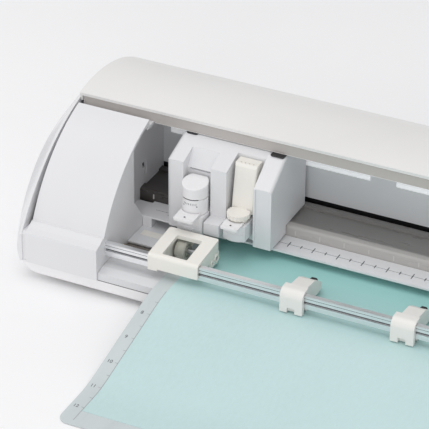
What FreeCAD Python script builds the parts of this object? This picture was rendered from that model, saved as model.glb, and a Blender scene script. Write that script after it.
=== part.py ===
"""Desktop die cutting machine for paper crafts: a wide body with an open lid, a two-tool
carriage on a rail, a grit feed roller with pinch rollers above it, and a cutting mat
with a sheet of card, half fed out of the front.

Millimetres, +X to the right, +Y to the back, +Z up.  The shapes are drawn with Y = 0
near the middle of the body and moved by FRAME_SHIFT when they are written, so that the
origin of the finished part is the centre of its footprint, on the table.
"""
import FreeCAD, Part
import math
import os

os.makedirs("parts", exist_ok=True)
Vector = FreeCAD.Vector

# ---------------------------------------------------------------- driving dimensions
WALL = 2.5                      # moulded wall thickness of the case
SEAM = 0.3                      # gap between two neighbouring case pieces
RUN = 0.05                      # radial running clearance of a shaft in its bore

# Arc shared by the covers and the lid, seen from the side
ARC_Y, ARC_Z = 22.0, -10.0      # its centre
COVER_R = 124.0                 # outside of the fixed covers
LID_R, LID_T = 127.5, 2.3       # outside and thickness of the lid
LID_FRONT, LID_REAR = -13.5, 38.5   # ends of the open lid, degrees from straight up

# Body
BODY_FRONT = -101.8             # vertical front of the covers
BASE_FRONT, BASE_REAR = -100.0, 96.6
FOOT_H = 4.4                    # the body stands this far off the table
BASE_TOP = 14.7                 # parting line between tray and covers
FLOOR_TOP = 6.4                 # inside face of the tray floor
TRAY_X = 284.0                  # half width of the tray
END_ROUND = 20.0                # the lower ends curl in with this radius
END_LOW = 5.2                   # height where that curl would meet the underside
COVER_X = 279.0                 # half width of the covers
CAP_IN, CAP_OUT = 282.0, 287.0  # the end cap beyond the lid groove
BAY_X = 218.5                   # half width of the cutting bay at the front
DEEP_X = 232.0                  # half width of the bay behind the rollers
TOP_SPLIT = -6.0                # front edge of the fixed top cover
COVER_REAR = -14.0              # rear edge of the front covers' curved skin
STEP_Z = 103.5                  # height of the covers behind that edge
SILL_LOW = 102.5                # lower edge of the top cover's front band
RIM_Z = 45.0                    # ledge the closed lid comes down to

# Feed path
BED_Z = 22.5                    # top of bed and platen
BED_REAR, PLATEN_FRONT = -67.2, -48.8   # walls either side of the feed roller
SLOT_LIP, SLOT_GAP = 3.0, 0.8   # the deck overhangs those walls and clears the roller by this
ROLLER_Y, ROLLER_Z, ROLLER_R = -58.0, 14.8, 8.0
JOURNAL_R = 4.0
MAT_Z, MAT_T = 23.1, 0.8
MAT_LEFT, MAT_RIGHT = -170.0, 160.0
MAT_FRONT, MAT_BACK = -253.0, 85.0
SHEET_T = 0.3
SHEET_SIDE = 304.8              # twelve inches

# Rail, ruler and back wall
RAIL_FRONT, RAIL_REAR = -4.6, 33.8
RAIL_LOW, RAIL_HIGH = 30.0, 40.6
RULER_FRONT, RULER_REAR, RULER_TOP, RULER_T = -27.0, -5.0, 32.0, 1.5
PANEL_FRONT, PANEL_REAR, PANEL_LOW = 36.5, 39.0, 43.2

# Pinch bar and what rides on it
BAR_Y = (-88.0, -84.0)
BAR_Z = (29.7, 40.6)
BAR_GAP = 0.4
PINCH_Z, PINCH_R = 32.0, 7.5
CLIP_ROLLER_Z, CLIP_ROLLER_R = 30.5, 6.0

# Carriage, drawn at its rest place
CAR_LEFT, CAR_RIGHT, CAR_END = -194.0, -121.8, -107.5
CAR_FRONT, CAR_BACK = -34.0, 29.0
CAR_LOW, CAR_STEP, CAR_TOP = 34.0, 41.3, 101.3
TOOL_Y = -36.0
TOOL_1_X, TOOL_2_X = -169.0, -133.0
BAY_1 = (-180.0, -157.4)
BAY_2 = (-144.4, -121.8)

LID_END_Y = ARC_Y + LID_R * math.sin(math.radians(LID_REAR))
FRAME_SHIFT = Vector(0, -(MAT_FRONT + LID_END_Y) / 2, 0)


# ---------------------------------------------------------------- shape helpers
def block(x, y, z):
    """Box between three (low, high) pairs."""
    return Part.makeBox(x[1] - x[0], y[1] - y[0], z[1] - z[0], Vector(x[0], y[0], z[0]))


def rod(axis, centre, radius, ends):
    """Round bar along one axis; centre holds the other two coordinates in order."""
    if axis == "x":
        start = Vector(ends[0], centre[0], centre[1])
        way = Vector(1, 0, 0)
    elif axis == "y":
        start = Vector(centre[0], ends[0], centre[1])
        way = Vector(0, 1, 0)
    else:
        start = Vector(centre[0], centre[1], ends[0])
        way = Vector(0, 0, 1)
    return Part.makeCylinder(radius, ends[1] - ends[0], start, way)


def tube(axis, centre, outer, inner, ends):
    """Round bar with a hole through it."""
    return rod(axis, centre, outer, ends).cut(rod(axis, centre, inner, (ends[0] - 1, ends[1] + 1)))


def side_prism(outline, x):
    """Outline of (y, z) corners pushed along X."""
    corners = [Vector(x[0], y, z) for y, z in outline]
    face = Part.Face(Part.makePolygon(corners + corners[:1]))
    return face.extrude(Vector(x[1] - x[0], 0, 0))


def front_prism(outline, y):
    """Outline of (x, z) corners pushed along Y."""
    corners = [Vector(px, y[0], pz) for px, pz in outline]
    face = Part.Face(Part.makePolygon(corners + corners[:1]))
    return face.extrude(Vector(0, y[1] - y[0], 0))


def plan_prism(outline, z):
    """Outline of (x, y) corners pushed up."""
    corners = [Vector(px, py, z[0]) for px, py in outline]
    face = Part.Face(Part.makePolygon(corners + corners[:1]))
    return face.extrude(Vector(0, 0, z[1] - z[0]))


def rounded_plan(x, y, z, radius):
    """Box whose four upright edges are rounded."""
    solid = block(x, y, z)
    upright = [e for e in solid.Edges if abs(e.Vertexes[0].Z - e.Vertexes[1].Z) > 0.5 * (z[1] - z[0])]
    return solid.makeFillet(radius, upright)


def join(first, *others):
    """One solid from several that meet."""
    for other in others:
        first = first.fuse(other)
    return first.removeSplitter()


def less(first, *others):
    """The first shape with the others taken out."""
    for other in others:
        first = first.cut(other)
    return first


def mirrored(shape):
    """The same piece for the other side of the machine."""
    return shape.mirror(Vector(0, 0, 0), Vector(1, 0, 0))


def moved(shape, x=0.0, y=0.0, z=0.0):
    """A copy somewhere else."""
    copy = shape.copy()
    copy.translate(Vector(x, y, z))
    return copy


def arc_solid(radius, x):
    """Full round of the given radius about the cover arc."""
    return rod("x", (ARC_Y, ARC_Z), radius, x)


def arc_wedge(start, stop, x):
    """Pie slice about the cover arc between two angles from straight up, towards the back."""
    reach = 3 * COVER_R
    corners = [(ARC_Y, ARC_Z)]
    for angle in (start, (start + stop) / 2, stop):
        turn = math.radians(angle)
        corners.append((ARC_Y + reach * math.sin(turn), ARC_Z + reach * math.cos(turn)))
    return side_prism(corners, x)


def arc_band(outer, inner, start, stop, x):
    """Curved plate about the cover arc."""
    ring = arc_solid(outer, x).cut(arc_solid(inner, (x[0] - 1, x[1] + 1)))
    return ring.common(arc_wedge(start, stop, (x[0] - 1, x[1] + 1)))


def write(name, *solids):
    """Move the solids of one node into the part frame, check them and write them."""
    shape = solids[0] if len(solids) == 1 else Part.makeCompound(list(solids))
    shape = shape.copy()
    shape.translate(FRAME_SHIFT)
    sound = shape.isValid() and len(shape.Solids) >= 1 and all(s.isClosed() for s in shape.Solids)
    if not sound:
        raise RuntimeError("node is not a sound solid: " + name)
    if len(solids) == 1 and len(shape.Solids) != 1:
        raise RuntimeError("node fell into several solids: " + name)
    shape.exportStep("parts/" + name + ".step")


# ---------------------------------------------------------------- case: tray and feet
def between_curls(solid):
    """Trims a solid to the space between the two curled lower ends of the case."""
    centre_x, centre_z = CAP_OUT - END_ROUND, END_LOW + END_ROUND
    keep = block((-centre_x, centre_x), (-130, 130), (0, centre_z))
    keep = keep.fuse(block((-CAP_OUT, CAP_OUT), (-130, 130), (centre_z, 130)))
    for side in (-1, 1):
        keep = keep.fuse(rod("y", (side * centre_x, centre_z), END_ROUND, (-130, 130)))
    return solid.common(keep.removeSplitter())


def base_tray():
    """Shallow moulded tray under the whole machine, open at the top, its ends curling up."""
    outer = rounded_plan((-TRAY_X, TRAY_X), (BASE_FRONT, BASE_REAR), (FOOT_H, BASE_TOP), 4.0)
    long_edges = [e for e in outer.Edges if e.CenterOfMass.z < FOOT_H + 0.1 and e.Length > 400]
    outer = between_curls(outer.makeFillet(3.0, long_edges))
    inside_x = COVER_X - WALL - 7.0
    inner = rounded_plan((-inside_x, inside_x), (BASE_FRONT + WALL, BASE_REAR - WALL),
                         (FLOOR_TOP, BASE_TOP + 1), 4.0)
    tray = outer.cut(inner)
    ribs = [block((x - 1, x + 1), (-30, BASE_REAR - WALL), (FLOOR_TOP, 12.0)) for x in (-150, 0, 150)]
    cross = [block((-inside_x, inside_x), (y - 1, y + 1), (FLOOR_TOP, 9.0)) for y in (40, 75)]
    tray = join(tray, *(ribs + cross))
    return less(tray, *[screw_blank(x, y) for x, y in SCREW_PLACES])


FOOT_PLACES = [(x, y) for x in (-235, -90, 90, 235) for y in (-80, 78)]
SCREW_PLACES = [(x, y) for x in (-250, -125, 25, 125, 250) for y in (-88, 86)]


def rubber_foot(x, y):
    """Round foot with a bevelled tread."""
    pad = Part.makeCone(8.0, 10.0, 1.5, Vector(x, y, 0), Vector(0, 0, 1))
    body = rod("z", (x, y), 10.0, (1.5, FOOT_H))
    dimple = rod("z", (x, y), 3.0, (-1, 1.2))
    return join(pad, body).cut(dimple)


def screw_blank(x, y):
    """Countersunk head and shank."""
    head = Part.makeCone(2.4, 1.4, 1.0, Vector(x, y, FOOT_H), Vector(0, 0, 1))
    shank = rod("z", (x, y), 1.4, (FOOT_H + 1.0, 11.0))
    return join(head, shank)


def case_screw(x, y):
    """Screw up through the tray floor, with a cross recess."""
    screw = screw_blank(x, y)
    slots = [block((x - 1.3, x + 1.3), (y - 0.3, y + 0.3), (0, FOOT_H + 0.6)),
             block((x - 0.3, x + 0.3), (y - 1.3, y + 1.3), (0, FOOT_H + 0.6))]
    return less(screw, *slots)


# ---------------------------------------------------------------- case: covers
def cover_body(inset, x):
    """Side profile of a front cover pushed along X; inset shrinks it for the inside."""
    front = BODY_FRONT + inset
    rear = TOP_SPLIT - SEAM
    edge = COVER_REAR - inset
    dome = arc_solid(COVER_R - inset, x).common(block(x, (-115, edge), (BASE_TOP, 130)))
    step = block(x, (edge - WALL, rear), (BASE_TOP, STEP_Z - inset))
    shoulder = side_prism([
        (rear, BASE_TOP), (rear, RIM_Z - inset), (-91.0 + inset, RIM_Z - inset),
        (-96.4 + inset, 42.4 - inset), (front + 0.3, 40.8 - inset), (front, 40.0 - inset),
        (front, BASE_TOP)], x)
    return join(dome, shoulder, step)


def left_front_cover():
    """Curved shell left of the bay, with a closed outer end and a ledge for the lid."""
    shell = cover_body(0, (-COVER_X, -BAY_X))
    hollow = cover_body(WALL, (-COVER_X + WALL, -BAY_X + 1))
    return less(shell, hollow)


PANEL_X, PANEL_Z, PANEL_DEEP = (230.0, 262.0), (21.0, 35.0), 0.8


def rounded_front(x, y, z, radius=3.0):
    """Box whose four front-to-back edges are rounded."""
    solid = block(x, y, z)
    deep = [e for e in solid.Edges if abs(e.Vertexes[0].Y - e.Vertexes[1].Y) > 0.5 * (y[1] - y[0])]
    return solid.makeFillet(radius, deep)


BUTTON_X, BUTTON_Z, BUTTON_R = 270.0, 28.0, 3.6


def right_front_cover():
    """Mirror of the left cover, with the recess of the touch panel and the button hole."""
    cover = mirrored(left_front_cover())
    hole = rod("y", (BUTTON_X, BUTTON_Z), BUTTON_R + 0.3, (BODY_FRONT - 1, BODY_FRONT + WALL + 1))
    recess = rounded_front(PANEL_X, (BODY_FRONT - 0.4, BODY_FRONT + PANEL_DEEP), PANEL_Z)
    return less(cover, recess, hole)


def power_button():
    """Round push button with a dished face and a collar behind the cover."""
    stem = rod("y", (BUTTON_X, BUTTON_Z), BUTTON_R, (BODY_FRONT - 1.0, BODY_FRONT + WALL + 0.5))
    behind_wall = BODY_FRONT + WALL + SEAM
    collar = rod("y", (BUTTON_X, BUTTON_Z), BUTTON_R + 1.2, (behind_wall, behind_wall + 1.5))
    dish = Part.makeSphere(12.0, Vector(BUTTON_X, BODY_FRONT - 12.4, BUTTON_Z))
    return join(stem, collar).cut(dish)


def top_cover():
    """Fixed curved top behind the lid edge, with its front lip and both side plates."""
    x = (-COVER_X, COVER_X)
    skin = arc_band(COVER_R, COVER_R - 3.0, -30, 37, x).common(block(x, (TOP_SPLIT, 110), (0, 130)))
    lip = block(x, (TOP_SPLIT, TOP_SPLIT + WALL), (SILL_LOW, 109.5))
    cover = join(skin, lip)
    for side in ((-COVER_X, -COVER_X + WALL), (COVER_X - WALL, COVER_X)):
        reach = block(side, (TOP_SPLIT, BASE_REAR - WALL - SEAM), (BASE_TOP, 130))
        cover = cover.fuse(arc_solid(COVER_R, side).common(reach))
    for y in (50, 75):
        rib = arc_band(COVER_R - 2.5, COVER_R - 7.0, -30, 37, x).common(block(x, (y, y + 2), (0, 130)))
        cover = cover.fuse(rib)
    return cover.removeSplitter()


def rear_cover():
    """Upright rear wall with the mat slot, vents and the two sockets' openings."""
    x = (-COVER_X + 0.2, COVER_X - 0.2)
    wall = block(x, (BASE_REAR - WALL, BASE_REAR), (BASE_TOP, 86.2))
    slot = block((-BAY_X, BAY_X), (BASE_REAR - 5, BASE_REAR + 1), (BED_Z, 31.0))
    through = (BASE_REAR - 5, BASE_REAR + 1)
    vents = [block((start, start + VENT_WIDTH), through, VENT_Z) for start in VENT_PLACES]
    usb = block(USB_X, (BASE_REAR - 5, BASE_REAR + 1), USB_Z)
    power = rod("y", (POWER_X, POWER_Z), POWER_R, (BASE_REAR - 5, BASE_REAR + 1))
    return less(wall, slot, usb, power, *vents)


VENT_WIDTH, VENT_Z, VENT_PLACES = 3.0, (45.0, 70.0), range(-230, -170, 8)
USB_X, USB_Z = (236.0, 248.0), (34.0, 45.0)
POWER_X, POWER_Z, POWER_R = 263.0, 39.5, 5.5


def usb_socket():
    """Square data socket with its tongue, filling its opening."""
    body = block(USB_X, (BASE_REAR - 14, BASE_REAR - 0.3), USB_Z)
    shell, gap = 1.2, 3.7
    mouth = block((USB_X[0] + shell, USB_X[1] - shell), (BASE_REAR - 11, BASE_REAR + 1),
                  (USB_Z[0] + shell, USB_Z[1] - shell))
    contacts = block((USB_X[0] + gap, USB_X[1] - gap), (BASE_REAR - 12, BASE_REAR - 2),
                     (USB_Z[0] + gap, USB_Z[1] - gap))
    return join(body.cut(mouth), contacts)


def power_inlet():
    """Round power socket with its centre pin, filling its opening."""
    body = rod("y", (POWER_X, POWER_Z), POWER_R, (BASE_REAR - 14, BASE_REAR - 0.3))
    mouth = rod("y", (POWER_X, POWER_Z), POWER_R - 1.8, (BASE_REAR - 11, BASE_REAR + 1))
    pin = rod("y", (POWER_X, POWER_Z), 1.0, (BASE_REAR - 12, BASE_REAR - 2))
    return join(body.cut(mouth), pin)


GROOVE_END = 40.5               # the lid groove stops at this height


def cap_wire(x, front, rear, front_arc, top, top_arc, shrink=0.0):
    """Closed side outline of an end cap: front line, two arcs over the top, rear and under lines."""
    low = BASE_TOP + shrink
    start = Vector(x, front[0] + shrink, front[1])
    over_front = Vector(x, front_arc[0] + 0.7 * shrink, front_arc[1] - 0.7 * shrink)
    summit = Vector(x, top[0], top[1] - shrink)
    over_rear = Vector(x, top_arc[0], top_arc[1] - shrink)
    end = Vector(x, rear[0] - shrink, rear[1] - shrink)
    under_rear, under_front = Vector(x, end.y, low), Vector(x, start.y, low)
    edges = [Part.makeLine(under_front, start), Part.Arc(start, over_front, summit).toShape(),
             Part.Arc(summit, over_rear, end).toShape(), Part.makeLine(end, under_rear),
             Part.makeLine(under_rear, under_front)]
    return Part.Wire(edges)


def cap_inner_wire(x, shrink=0.0):
    """The cap's outline beside the lid groove, in line with the covers."""
    return cap_wire(x, (BODY_FRONT, 38.0), (96.5, 76.0), (-66.0, 77.6), (18.0, 113.8), (62.0, 104.5), shrink)


def cap_outer_wire(x):
    """The smaller outline of the cap's outer face."""
    return cap_wire(x, (-100.5, 27.0), (91.0, 66.0), (-74.3, 75.2), (-8.4, 102.9), (50.0, 96.5))


def left_end_cap():
    """Domed end piece: outer skin, the floor of the lid groove, and a lightening pocket."""
    middle_x = -CAP_IN - 2.0
    collar = Part.Face(cap_inner_wire(-CAP_IN)).extrude(Vector(-2.0, 0, 0))
    dome = Part.makeLoft([cap_inner_wire(middle_x), cap_outer_wire(-CAP_OUT)], True, True)
    step = Part.Face(cap_inner_wire(-CAP_IN, 1.0)).extrude(Vector(CAP_IN - COVER_X, 0, 0))
    groove_floor = arc_solid(117.5, (-CAP_IN, -COVER_X))
    lower_front = block((-CAP_IN, -COVER_X), (-101.0, 96.0), (0, GROOVE_END))
    step = step.common(groove_floor.fuse(lower_front))
    cap = between_curls(join(collar, dome, step))
    pocket = Part.Face(cap_inner_wire(-COVER_X + 1, 10.0)).extrude(Vector(-4.5, 0, 0))
    pocket = pocket.common(block((-300, -200), (-90, 86), (END_LOW + END_ROUND + 1, 92)))
    return cap.cut(pocket).removeSplitter()


# ---------------------------------------------------------------- cutting bay
SHAFT_HOLE_R = 7.0


def left_inner_wall():
    """Wall at the left of the bay: front plate, step back behind the rollers, deep plate."""
    front_x = (-BAY_X - WALL, -BAY_X)
    shell = cover_body(WALL, front_x)
    front = shell.common(block(front_x, (-115, -40), (BASE_TOP, 130)))
    lobe = side_prism([(-41, BASE_TOP), (-27, BASE_TOP), (-27, 31.7), (-40, 50.0), (-41, 50.0)], front_x)
    low = block(front_x, (-97.0, -27.0), (FLOOR_TOP, BASE_TOP))
    step = block((-DEEP_X - WALL, -BAY_X - WALL), (-42.5, -40), (BASE_TOP, 96.0))
    deep_x = (-DEEP_X - WALL, -DEEP_X)
    deep = arc_solid(COVER_R - 3.3, deep_x).common(block(deep_x, (-41, PANEL_FRONT), (FLOOR_TOP, 130)))
    step = step.common(arc_solid(COVER_R - WALL - 0.1, (-300, 0)))
    wall = join(front, lobe, low, step, deep)
    bar_slot = block((-BAY_X - WALL - 1, -BAY_X + 1), BAR_Y, BAR_Z)
    shaft = rod("x", (ROLLER_Y, ROLLER_Z), SHAFT_HOLE_R, (-BAY_X - WALL - 1, -BAY_X + 1))
    cable_slot = join(block((-DEEP_X - 5, -DEEP_X + 1), (0, 7), (55, 60)),
                      block((-DEEP_X - 5, -DEEP_X + 1), (4, 7), (48, 55.5)))
    lip_room = block((-DEEP_X - 5, -DEEP_X + 1), (TOP_SPLIT - SEAM, TOP_SPLIT + WALL + SEAM),
                     (SILL_LOW - SEAM, 120))
    step_room = block((-DEEP_X - 5, -DEEP_X + 1), (COVER_REAR - WALL - SEAM, TOP_SPLIT - SEAM),
                      (STEP_Z - WALL - SEAM, 120))
    return less(wall, bar_slot, shaft, cable_slot, lip_room, step_room)


def roller_bush(side):
    """Flanged bearing bush that carries one journal of the feed roller."""
    ends = sorted((side * (BAY_X - 1.2), side * (BAY_X + WALL + 2.0)))
    barrel = rod("x", (ROLLER_Y, ROLLER_Z), SHAFT_HOLE_R, ends)
    flange_ends = sorted((side * (BAY_X + WALL), side * (BAY_X + WALL + 2.0)))
    flange = rod("x", (ROLLER_Y, ROLLER_Z), SHAFT_HOLE_R + 1.2, flange_ends)
    bore = rod("x", (ROLLER_Y, ROLLER_Z), JOURNAL_R + RUN, (ends[0] - 1, ends[1] + 1))
    return join(barrel, flange).cut(bore)


def front_bed():
    """Flat table in front of the feed roller, a plate with a skirt down to the tray."""
    x = (-BAY_X + 0.2, BAY_X - 0.2)
    plate = block(x, (BASE_FRONT, BED_REAR + SLOT_LIP), (BED_Z - 3, BED_Z))
    front = block(x, (BASE_FRONT, BASE_FRONT + WALL), (BASE_TOP, BED_Z - 3))
    rear = block(x, (BED_REAR - WALL, BED_REAR), (FLOOR_TOP, BED_Z - 3))
    slope = side_prism([(BASE_FRONT - 1, 20.0), (BASE_FRONT + 8, BED_Z), (BASE_FRONT + 8, BED_Z + 1),
                        (BASE_FRONT - 1, BED_Z + 1)], x)
    return less(join(plate, front, rear), roller_room(), slope)


def roller_room():
    """Space the feed roller needs between bed and platen."""
    return rod("x", (ROLLER_Y, ROLLER_Z), ROLLER_R + SLOT_GAP, (-BAY_X, BAY_X))


STRIP_Y = (-39.5, -32.5)
STRIP_X = 214.0


def platen():
    """Flat deck behind the feed roller, out to the deep walls, with the strip's groove."""
    side = BAY_X - 0.2
    deep = DEEP_X - 0.2
    edge = PLATEN_FRONT - SLOT_LIP
    outline = [(-side, edge), (side, edge), (side, -26.8), (deep, -26.8), (deep, 90.0),
               (-deep, 90.0), (-deep, -26.8), (-side, -26.8)]
    deck = plan_prism(outline, (BED_Z - 3, BED_Z))
    front = block((-side, side), (PLATEN_FRONT, PLATEN_FRONT + WALL), (FLOOR_TOP, BED_Z - 3))
    rear = block((-deep, deep), (82.0, 84.5), (12.0, BED_Z - 3))
    legs = [block((x - 2, x + 2), (82.0, 84.5), (FLOOR_TOP, 12.5)) for x in (-180, -60, 60, 180)]
    fills = [block(sorted((side * (BAY_X + WALL + 0.2), side * deep)), (-39.8, -26.0), (BED_Z - 3, BED_Z))
             for side in (-1, 1)]
    groove = block((-STRIP_X, STRIP_X), STRIP_Y, (BED_Z - 1.0, BED_Z + 1))
    relief = block((-deep - 1, deep + 1), (38.0, 81.0), (BED_Z - 4, BED_Z - 2.0))
    feet = [rail_foot(-226.0), rail_foot(226.0)]
    return less(join(deck, front, rear, *(legs + fills + feet)), groove, relief, roller_room())


def cutting_strip():
    """Soft strip let into the platen right under the blades."""
    return block((-STRIP_X, STRIP_X), STRIP_Y, (BED_Z - 1.0, BED_Z + 0.2))


SCALE_Y = -16.0                 # line the ruler's marks are centred on


def ruler_strip():
    """Thin steel ruler in front of the rail, with scale marks and an end block each side."""
    plate = block((-DEEP_X, DEEP_X), (RULER_FRONT, RULER_REAR), (RULER_TOP - RULER_T, RULER_TOP))
    notch = block((-DEEP_X - 1, -DEEP_X + 13), (RULER_REAR - 3, RULER_REAR + 1),
                  (RULER_TOP - 3, RULER_TOP + 1))
    marks = []
    for step in range(-20, 21):
        x = 10.0 * step
        reach = 7.0 if step % 2 == 0 else 4.0
        along = (SCALE_Y - reach / 2, SCALE_Y + reach / 2)
        marks.append(block((x - 0.4, x + 0.4), along, (RULER_TOP - 0.3, RULER_TOP + 1)))
    ends = []
    for side in (-1, 1):
        x = sorted((side * (BAY_X - 0.2), side * (BAY_X - 8.0)))
        ends.append(block(x, (RULER_FRONT, RULER_FRONT + 8), (BED_Z, RULER_TOP - RULER_T)))
    return less(join(plate, *ends), notch, *marks)


def carriage_rail():
    """Hollow aluminium extrusion with a rounded front edge and a shallow trough on top."""
    x = (-DEEP_X, DEEP_X)
    bar = block(x, (RAIL_FRONT, RAIL_REAR), (RAIL_LOW, RAIL_HIGH))
    front = [e for e in bar.Edges if e.CenterOfMass.y < RAIL_FRONT + 0.1]
    bar = bar.makeFillet(2.5, [e for e in front if e.CenterOfMass.z > RAIL_HIGH - 0.1])
    trough = block((x[0] - 1, x[1] + 1), (RAIL_FRONT + 8, RAIL_REAR - 6), (RAIL_HIGH - 1.8, RAIL_HIGH + 1))
    chambers = [block((x[0] - 1, x[1] + 1), (RAIL_FRONT + 2.2, 9.0), (RAIL_LOW + 2, RAIL_HIGH - 4.0)),
                block((x[0] - 1, x[1] + 1), (11.0, RAIL_REAR - 2.2), (RAIL_LOW + 2, RAIL_HIGH - 4.0))]
    return less(bar, trough, *chambers)


def rail_foot(x):
    """Bracket from the platen up to the underside of the rail."""
    post = block((x - 5, x + 5), (4, 26), (BED_Z, RAIL_LOW))
    window = block((x - 6, x + 6), (9, 21), (BED_Z + 2, RAIL_LOW - 2))
    return post.cut(window)


def back_wall_panel():
    """Upright panel behind the rail, from just above it to the underside of the top."""
    x = (-DEEP_X - WALL, DEEP_X + WALL)
    panel = block(x, (PANEL_FRONT, PANEL_REAR), (PANEL_LOW, 108.8))
    lip = block(x, (PANEL_REAR - 0.1, PANEL_REAR + 5), (106.0, 108.3))
    deep = (PANEL_FRONT - 1, PANEL_FRONT + 0.6)
    recess = [block(run, deep, LIGHT_Z) for run in LIGHT_RUNS]
    return less(join(panel, lip), *recess)


LIGHT_Z = (71.0, 76.0)
LIGHT_RUNS = [(-225.0, -57.5), (-36.0, 131.5), (153.0, 225.0)]


def light_run(start, stop):
    """One length of the light strip, a diffuser with bevelled edges."""
    y_back = PANEL_FRONT + 0.6
    y_face = PANEL_FRONT - 1.2
    low, high = LIGHT_Z
    return side_prism([(y_back, low), (PANEL_FRONT, low), (y_face, low + 1.2), (y_face, high - 1.2),
                       (PANEL_FRONT, high), (y_back, high)], (start, stop))


def pinch_bar():
    """Bar across the bay that the pinch frames and clips slide on, grooved in front."""
    bar = block((-BAY_X - WALL, BAY_X + WALL), BAR_Y, BAR_Z)
    groove = block((-BAY_X, BAY_X), (BAR_Y[0] - 1, BAR_Y[0] + 1.0), (34.0, 36.0))
    return bar.cut(groove)


# ---------------------------------------------------------------- feed drive
GEAR_X = (-250.0, -242.0)
GEAR_TEETH, PINION_TEETH = 15, 9
TOOTH_PITCH_R = 0.5             # pitch radius added by each tooth (module 1)
GEAR_GAP = 0.35                 # the pair is set this far apart beyond the pitch radii
PINION_Z = ROLLER_Z + (GEAR_TEETH + PINION_TEETH) * TOOTH_PITCH_R + GEAR_GAP


def toothed_wheel(teeth, x, z, turned):
    """Spur wheel with tapered teeth, narrow enough to leave plenty of backlash."""
    pitch_r = teeth * TOOTH_PITCH_R
    root_r = pitch_r - 1.1
    tip_r = pitch_r + 0.6
    wheel = rod("x", (ROLLER_Y, z), root_r, x)
    for number in range(teeth):
        turn = 360.0 * number / teeth + turned
        tooth = side_prism([(-0.8, root_r - 0.5), (0.8, root_r - 0.5), (0.30, tip_r), (-0.30, tip_r)], x)
        tooth.rotate(Vector(0, 0, 0), Vector(1, 0, 0), turn)
        tooth.translate(Vector(0, ROLLER_Y, z))
        wheel = wheel.fuse(tooth)
    return wheel.removeSplitter()


def drive_roller():
    """Long grit-faced roller with turned-down journals and a flat for the gear."""
    face_x = BAY_X - 2.0
    barrel = rod("x", (ROLLER_Y, ROLLER_Z), ROLLER_R, (-face_x, face_x))
    grooves = [tube("x", (ROLLER_Y, ROLLER_Z), ROLLER_R + 1, ROLLER_R - 0.4, (x, x + 2))
               for x in (-150.0, -110.0, -76.0, 10.5, 44.0, 110.0)]
    journals = rod("x", (ROLLER_Y, ROLLER_Z), JOURNAL_R, (-250.6, BAY_X + 6.0))
    return less(join(barrel, journals), *grooves)


def drive_gear():
    """Toothed wheel on the left end of the feed roller."""
    wheel = toothed_wheel(GEAR_TEETH, GEAR_X, ROLLER_Z, 180.0 / GEAR_TEETH)
    collar = rod("x", (ROLLER_Y, ROLLER_Z), 5.6, (GEAR_X[1] - 0.5, GEAR_X[1] + 3))
    bore = rod("x", (ROLLER_Y, ROLLER_Z), JOURNAL_R, (GEAR_X[0] - 1, GEAR_X[1] + 4))
    return join(wheel, collar).cut(bore)


def motor_pinion():
    """Small wheel in one piece with the feed motor's shaft."""
    shaft = rod("x", (ROLLER_Y, PINION_Z), SHAFT_R, (MOTOR_X[1] - 8.0, GEAR_X[0] + 1))
    return join(toothed_wheel(PINION_TEETH, GEAR_X, PINION_Z, 180.0), shaft)


MOTOR_X = (-275.5, -253.0)
SHAFT_R = 1.5


def feed_motor():
    """Can motor with a mounting plate that stands on the tray floor, and its shaft end."""
    can = rod("x", (ROLLER_Y, PINION_Z), 12.2, (MOTOR_X[0], MOTOR_X[1] - 1.5))
    plate = rounded_side((MOTOR_X[1] - 2.0, MOTOR_X[1]), (ROLLER_Y - 17, ROLLER_Y + 17),
                         (FLOOR_TOP, PINION_Z + 15))
    boss = rod("x", (ROLLER_Y, PINION_Z), 3.2, (MOTOR_X[1] - 0.5, MOTOR_X[1] + 1.5))
    bore = rod("x", (ROLLER_Y, PINION_Z), SHAFT_R + RUN, (MOTOR_X[1] - 8.3, MOTOR_X[1] + 3))
    return join(can, plate, boss).cut(bore)


def rounded_side(x, y, z, radius=3.0):
    """Box whose four left-to-right edges are rounded."""
    solid = block(x, y, z)
    across = [e for e in solid.Edges if abs(e.Vertexes[0].X - e.Vertexes[1].X) > 0.5 * (x[1] - x[0])]
    return solid.makeFillet(radius, across)


# ---------------------------------------------------------------- carriage drive
BELT_Y, BELT_X = 49.0, 250.0
BELT_Z = (33.5, 39.5)
PULLEY_R, BELT_T, BELT_CLEAR = 6.0, 1.2, 0.3


def belt_loop(radius, z):
    """Long round-ended block around both pulleys."""
    middle = block((-BELT_X, BELT_X), (BELT_Y - radius, BELT_Y + radius), z)
    ends = [rod("z", (side * BELT_X, BELT_Y), radius, z) for side in (-1, 1)]
    return join(middle, *ends)


def carriage_belt():
    """Flat belt loop behind the back wall; its front run passes the carriage clamp."""
    inner = PULLEY_R + BELT_CLEAR
    return belt_loop(inner + BELT_T, BELT_Z).cut(belt_loop(inner, (BELT_Z[0] - 1, BELT_Z[1] + 1)))


def pulley(side):
    """Belt pulley with a rim above and below the belt and a bore for its shaft."""
    x = side * BELT_X
    hub = rod("z", (x, BELT_Y), PULLEY_R, (BELT_Z[0] - 0.8, BELT_Z[1] + 0.8))
    low = rod("z", (x, BELT_Y), PULLEY_R + 2.5, (BELT_Z[0] - 2.0, BELT_Z[0] - 0.4))
    high = rod("z", (x, BELT_Y), PULLEY_R + 2.5, (BELT_Z[1] + 0.4, BELT_Z[1] + 2.0))
    bore = rod("z", (x, BELT_Y), 2.0 + RUN, (BELT_Z[0] - 3, BELT_Z[1] + 3))
    windows = [rod("z", (x + 4.6 * math.cos(turn), BELT_Y + 4.6 * math.sin(turn)), 0.8,
                   (BELT_Z[0] - 3, BELT_Z[1] + 3)) for turn in (0.0, 2.1, 4.2)]
    return less(join(hub, low, high), bore, *windows)


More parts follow.
